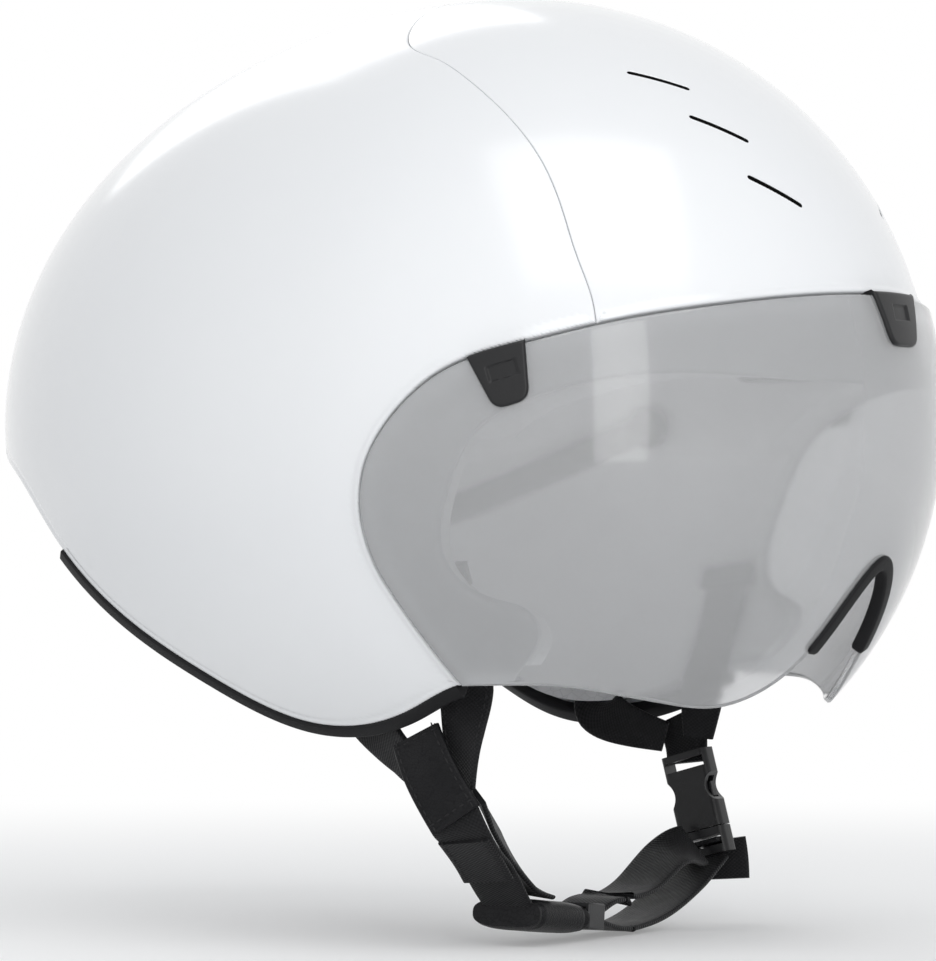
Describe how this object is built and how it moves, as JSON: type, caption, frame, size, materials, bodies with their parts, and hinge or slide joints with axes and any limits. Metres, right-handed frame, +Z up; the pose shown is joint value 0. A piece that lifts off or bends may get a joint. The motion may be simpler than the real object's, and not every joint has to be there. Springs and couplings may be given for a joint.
{
  "type": "time trial helmet",
  "caption": "Egg-shaped aero helmet: two-panel shell, wraparound smoked visor held by magnets, foam liner, dial fit system, straps and side-release chin buckle.",
  "frame": {"origin": "the point of the lining that the top of the wearer's head touches, 30 mm below the crown of the shell", "axes": "+Z up, the wearer looks along -Y, +X is the wearer's left"},
  "size_m": [0.217, 0.3025, 0.2758],
  "materials": {
    "shell": "glossy white polycarbonate",
    "seat": "satin white",
    "foam": "pale grey beaded foam",
    "steel": "plated",
    "pad": "black knitted cover over foam",
    "lens": "smoked clear polycarbonate",
    "rubber": "satin black",
    "black_plastic": "fine grained black",
    "dial_plastic": "soft touch dark grey",
    "webbing": "woven black webbing",
    "patch_leather": "smooth black"
  },
  "bodies": {
    "helmet": {"shell_front_panel": "shell", "shell_rear_panel": "shell", "visor_seat": "seat", "foam_liner": "foam", "seat_magnets": "steel", "brow_pad": "pad", "rear_pad": "pad", "crown_pad": "pad", "side_pad_left": "pad", "side_pad_right": "pad", "rim_trim_left": "rubber", "rim_trim_right": "rubber", "pivot_pin_left": "black_plastic", "pivot_pin_right": "black_plastic", "strap_front_left": "webbing", "strap_front_right": "webbing", "strap_rear_left": "webbing", "strap_rear_right": "webbing", "strap_anchors": "black_plastic", "strap_patch": "patch_leather", "chin_strap_right_outer": "webbing", "chin_strap_right_inner": "webbing", "strap_end_right": "webbing", "buckle_webbing": "webbing", "chin_pad": "pad", "strap_keeper": "patch_leather", "buckle_housing": "black_plastic"},
    "visor": {"visor_lens": "lens", "nose_seal": "rubber", "visor_clip_left": "black_plastic", "visor_clip_right": "black_plastic", "visor_clip_centre": "black_plastic", "visor_magnets": "steel"},
    "cradle": {"cradle_yoke": "black_plastic", "cradle_housing": "black_plastic", "cradle_screws": "steel", "cradle_pad_left": "pad", "cradle_pad_right": "pad", "head_band_left": "black_plastic", "head_band_right": "black_plastic"},
    "dial": {"dial_knob": "dial_plastic", "dial_pinion": "black_plastic", "dial_screw": "steel"},
    "left_rack": {"band_rack_left": "black_plastic"},
    "right_rack": {"band_rack_right": "black_plastic"},
    "latch": {"buckle_latch": "black_plastic", "latch_loop": "webbing", "chin_strap_left_outer": "webbing", "chin_strap_left_inner": "webbing", "strap_end_left": "webbing"},
    "front_prong": {"prong_front": "black_plastic"},
    "rear_prong": {"prong_rear": "black_plastic"}
  },
  "joints": [
    {"name": "visor_release", "type": "slide", "parent": "helmet", "child": "visor", "axis": [0, -1, 0], "range_m": [0, 0.08]},
    {"name": "cradle_tilt", "type": "hinge", "parent": "helmet", "child": "cradle", "pos_m": [0, 0, -0.095], "axis": [1, 0, 0], "range_deg": [-10, 12]},
    {"name": "dial_turn", "type": "hinge", "parent": "cradle", "child": "dial", "pos_m": [0, 0.105, -0.143], "axis": [0, -1, 0], "range_deg": [0, 171.9]},
    {"name": "left_rack_slide", "type": "slide", "parent": "cradle", "child": "left_rack", "axis": [-1, 0, 0], "range_m": [0, 0.0151], "deforming": ["head_band_left"]},
    {"name": "right_rack_slide", "type": "slide", "parent": "cradle", "child": "right_rack", "axis": [1, 0, 0], "range_m": [0, 0.0151], "deforming": ["head_band_right"]},
    {"name": "buckle_release", "type": "slide", "parent": "helmet", "child": "latch", "axis": [0, -0.2588, -0.9659], "range_m": [0, 0.02], "deforming": ["chin_strap_left_outer", "chin_strap_left_inner"]},
    {"name": "front_prong_pinch", "type": "hinge", "parent": "latch", "child": "front_prong", "pos_m": [0.06998, -0.03017, -0.21771], "axis": [-1, 0, 0], "range_deg": [0, 6], "stiffness_Nm_per_rad": 0.05},
    {"name": "rear_prong_pinch", "type": "hinge", "parent": "latch", "child": "rear_prong", "pos_m": [0.06998, -0.02109, -0.22014], "axis": [1, 0, 0], "range_deg": [0, 6], "stiffness_Nm_per_rad": 0.05}
  ],
  "couplings": [
    {"joint": "left_rack_slide", "follows": "dial_turn", "m_per_rad": 0.005},
    {"joint": "right_rack_slide", "follows": "dial_turn", "m_per_rad": 0.005}
  ]
}
